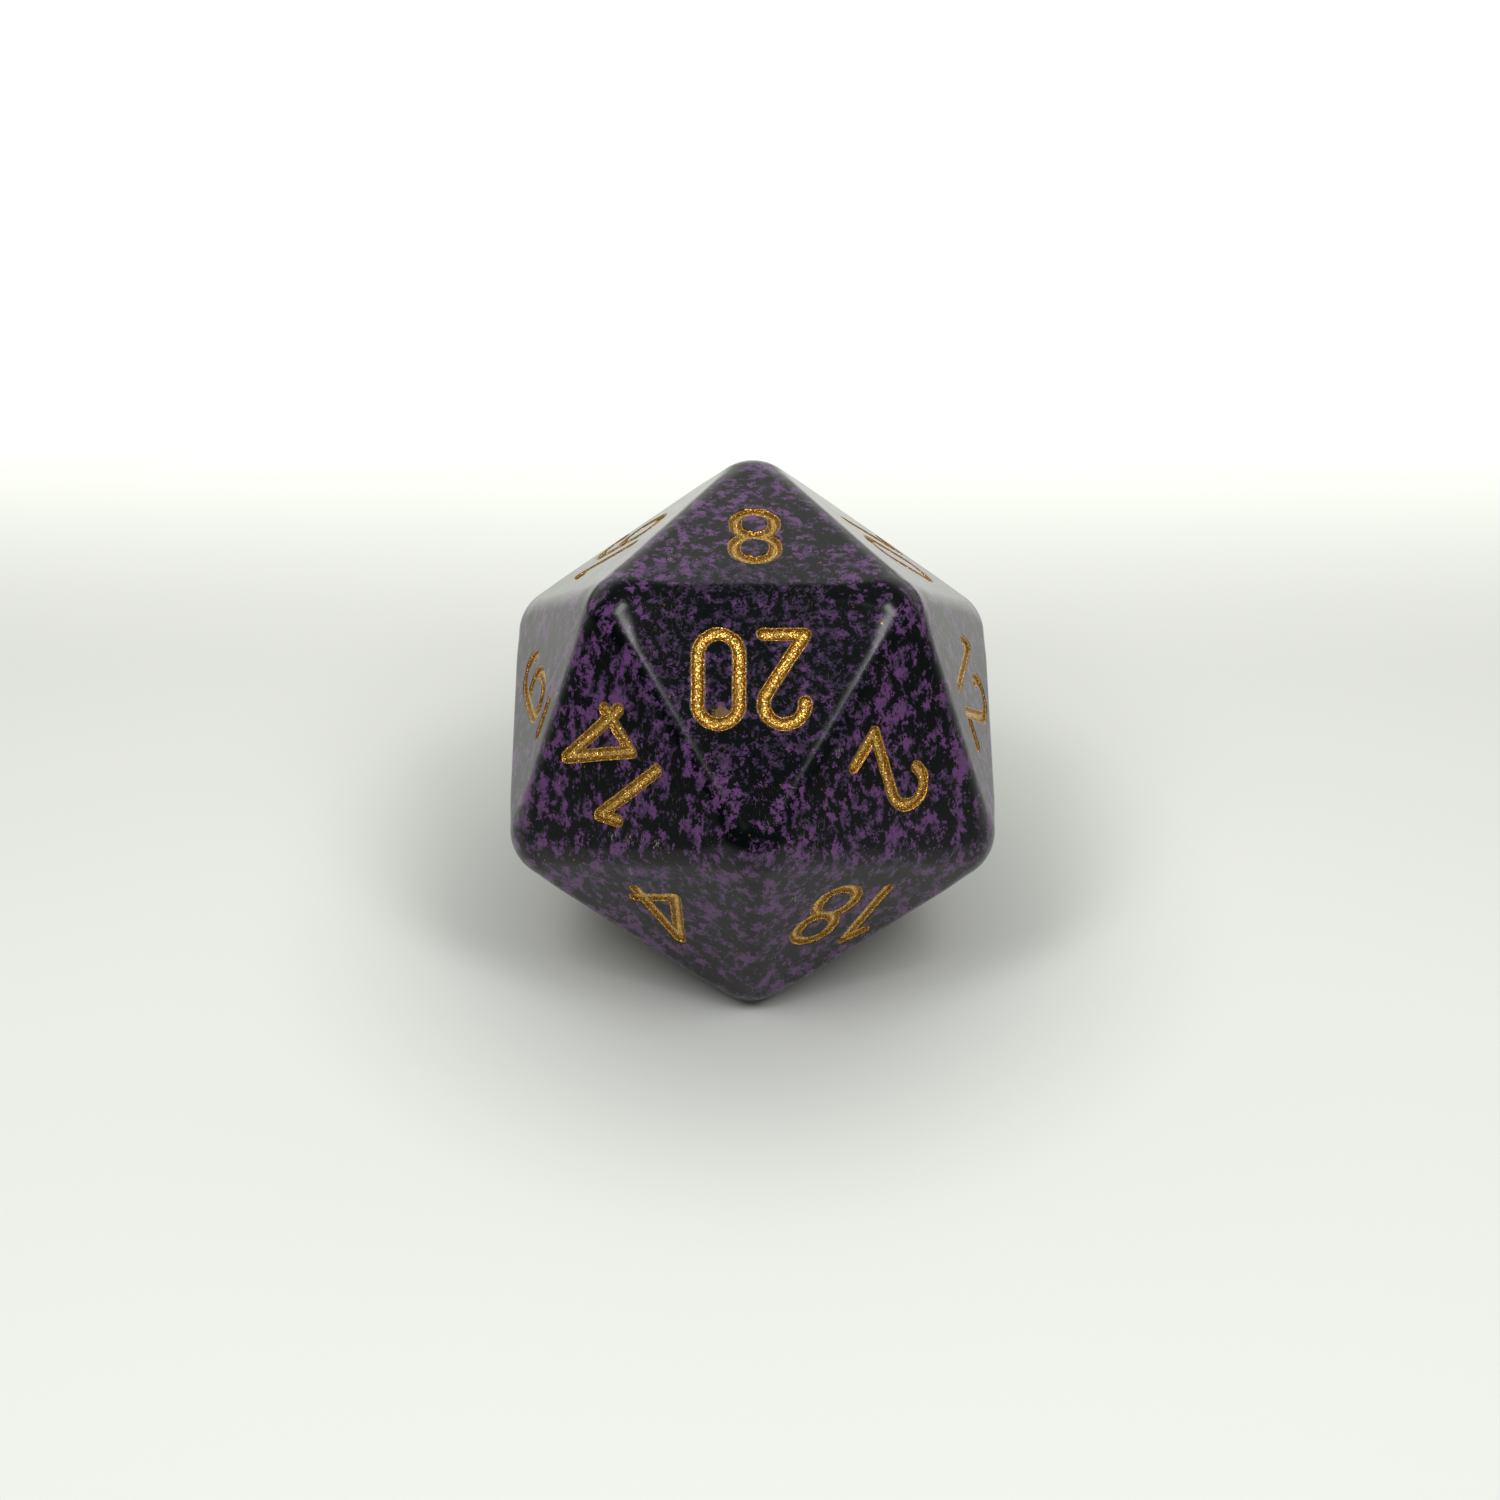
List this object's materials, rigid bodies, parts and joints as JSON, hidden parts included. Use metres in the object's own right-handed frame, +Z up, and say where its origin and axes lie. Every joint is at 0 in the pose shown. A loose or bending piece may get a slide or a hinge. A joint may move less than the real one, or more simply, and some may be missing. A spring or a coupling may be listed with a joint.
{
  "type": "polyhedral die",
  "caption": "Jumbo icosahedral game die in speckled plastic, with engraved numerals filled with gold metallic paint.",
  "frame": {"origin": "on the resting face (the 13), under the die's centre", "axes": "+Z up through the 8, -Y towards the side that shows the 20, +X to the right of that side"},
  "size_m": [0.036, 0.0404, 0.034],
  "materials": {
    "body_plastic": "semi-gloss opaque moulded plastic, black with sharp-edged purple speckle all through",
    "numeral_paint": "bronze-gold metallic flake paint, dried into the engraving with a dished surface"
  },
  "bodies": {
    "root": {"die_body": "body_plastic", "inlay_01": "numeral_paint", "inlay_02": "numeral_paint", "inlay_03": "numeral_paint", "inlay_04": "numeral_paint", "inlay_05": "numeral_paint", "inlay_06": "numeral_paint", "inlay_07": "numeral_paint", "inlay_08": "numeral_paint", "inlay_09": "numeral_paint", "inlay_10_tens": "numeral_paint", "inlay_10_units": "numeral_paint", "inlay_11_tens": "numeral_paint", "inlay_11_units": "numeral_paint", "inlay_12_tens": "numeral_paint", "inlay_12_units": "numeral_paint", "inlay_13_tens": "numeral_paint", "inlay_13_units": "numeral_paint", "inlay_14_tens": "numeral_paint", "inlay_14_units": "numeral_paint", "inlay_15_tens": "numeral_paint", "inlay_15_units": "numeral_paint", "inlay_16_tens": "numeral_paint", "inlay_16_units": "numeral_paint", "inlay_17_tens": "numeral_paint", "inlay_17_units": "numeral_paint", "inlay_18_tens": "numeral_paint", "inlay_18_units": "numeral_paint", "inlay_19_tens": "numeral_paint", "inlay_19_units": "numeral_paint", "inlay_20_tens": "numeral_paint", "inlay_20_units": "numeral_paint", "inlay_06_bar": "numeral_paint", "inlay_09_bar": "numeral_paint"}
  },
  "joints": []
}
